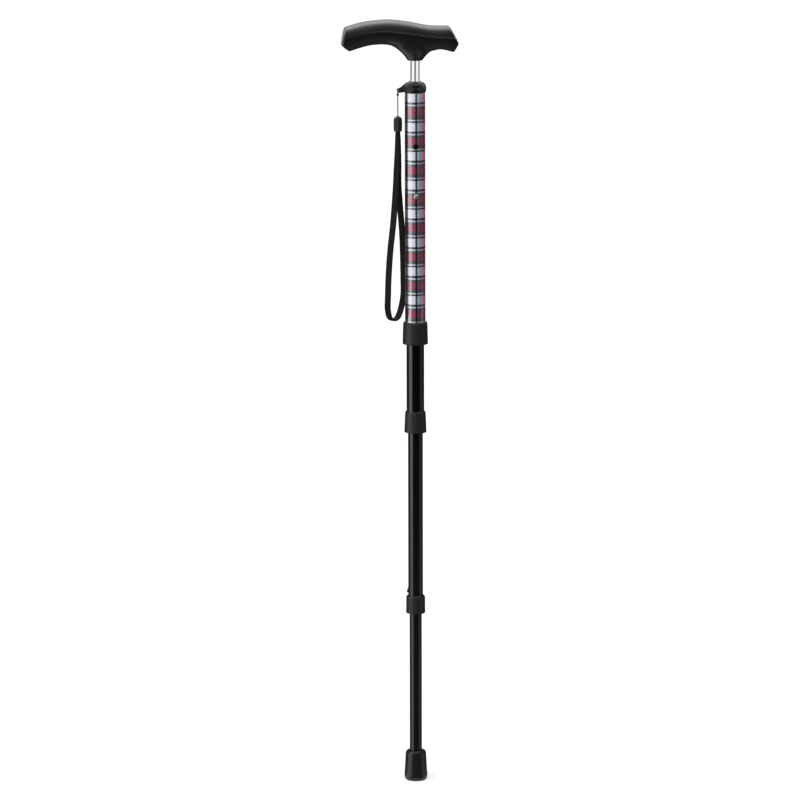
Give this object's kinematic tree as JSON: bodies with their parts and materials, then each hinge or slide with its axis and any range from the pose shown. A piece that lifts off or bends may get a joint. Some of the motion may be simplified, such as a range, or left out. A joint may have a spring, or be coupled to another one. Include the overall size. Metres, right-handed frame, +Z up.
{
  "type": "telescopic walking stick",
  "caption": "Height-adjustable telescopic walking stick with a T grip, a patterned upper tube, sliding black lower tubes, a wrist strap and a rubber ferrule.",
  "frame": {"origin": "middle of the ferrule's flat foot, on the floor", "axes": "+Z up along the tubes to the grip, -X towards the grip's long back end and the wrist strap, -Y towards the height holes and the round button"},
  "size_m": [0.1249, 0.0302, 0.83],
  "materials": {
    "soft_touch_grip": "satin black",
    "chrome": "polished",
    "tartan_film": "printed tartan, satin",
    "moulded_collar": "matt grey-black",
    "black_anodised_tube": "gloss black anodised",
    "nylon_bush": "natural nylon",
    "spring_steel": "bright",
    "blackened_spring": "blackened",
    "ferrule_rubber": "matt",
    "woven_strap": "woven black",
    "strap_fittings": "satin black"
  },
  "bodies": {
    "handle": {"handle_grip": "soft_touch_grip", "post": "chrome", "post_bush": "nylon_bush", "post_bush_pin": "spring_steel"},
    "post_button": {"post_snap_clip": "spring_steel"},
    "upper_section": {"upper_tube": "tartan_film", "top_cap": "moulded_collar", "upper_collar": "moulded_collar", "upper_collar_pin": "spring_steel"},
    "second_section": {"second_tube": "black_anodised_tube", "second_bush": "nylon_bush", "second_collar": "moulded_collar"},
    "second_catch": {"second_snap_clip": "blackened_spring"},
    "third_section": {"third_tube": "black_anodised_tube", "third_bush": "nylon_bush", "third_collar": "moulded_collar"},
    "third_catch": {"third_snap_clip": "blackened_spring"},
    "lower_section": {"lower_tube": "black_anodised_tube", "lower_bush": "nylon_bush", "ferrule": "ferrule_rubber", "ferrule_washer": "spring_steel"},
    "lower_catch": {"lower_snap_clip": "blackened_spring"},
    "strap": {"strap_cord": "woven_strap", "strap_crimp": "strap_fittings", "strap_bead": "strap_fittings", "strap_band": "woven_strap"}
  },
  "joints": [
    {"name": "height_adjust", "type": "slide", "parent": "handle", "child": "upper_section", "axis": [0, 0, -1], "range_m": [0, 0.053], "deforming": ["post_snap_clip"]},
    {"name": "second_slide", "type": "slide", "parent": "upper_section", "child": "second_section", "axis": [0, 0, 1], "range_m": [0, 0.073], "deforming": ["second_snap_clip"]},
    {"name": "third_slide", "type": "slide", "parent": "second_section", "child": "third_section", "axis": [0, 0, 1], "range_m": [0, 0.09], "deforming": ["third_snap_clip"]},
    {"name": "lower_slide", "type": "slide", "parent": "third_section", "child": "lower_section", "axis": [0, 0, 1], "range_m": [0, 0.1515], "deforming": ["lower_snap_clip"]},
    {"name": "post_button_press", "type": "slide", "parent": "handle", "child": "post_button", "axis": [0, 1, 0], "range_m": [0, 0.0025], "stiffness_N_per_m": 500, "springref_m": -0.004, "deforming": ["post_snap_clip"]},
    {"name": "second_catch_press", "type": "slide", "parent": "second_section", "child": "second_catch", "axis": [0, -1, 0], "range_m": [0, 0.0035], "stiffness_N_per_m": 400, "springref_m": -0.004, "deforming": ["second_snap_clip"]},
    {"name": "third_catch_press", "type": "slide", "parent": "third_section", "child": "third_catch", "axis": [0, -1, 0], "range_m": [0, 0.0035], "stiffness_N_per_m": 400, "springref_m": -0.004, "deforming": ["third_snap_clip"]},
    {"name": "lower_catch_press", "type": "slide", "parent": "lower_section", "child": "lower_catch", "axis": [1, 0, 0], "range_m": [0, 0.0035], "stiffness_N_per_m": 400, "springref_m": -0.004, "deforming": ["lower_snap_clip"]},
    {"name": "strap_swing", "type": "hinge", "parent": "upper_section", "child": "strap", "pos_m": [-0.0183, 0, 0.7541], "axis": [0, 1, 0], "range_deg": [0, 85]}
  ]
}
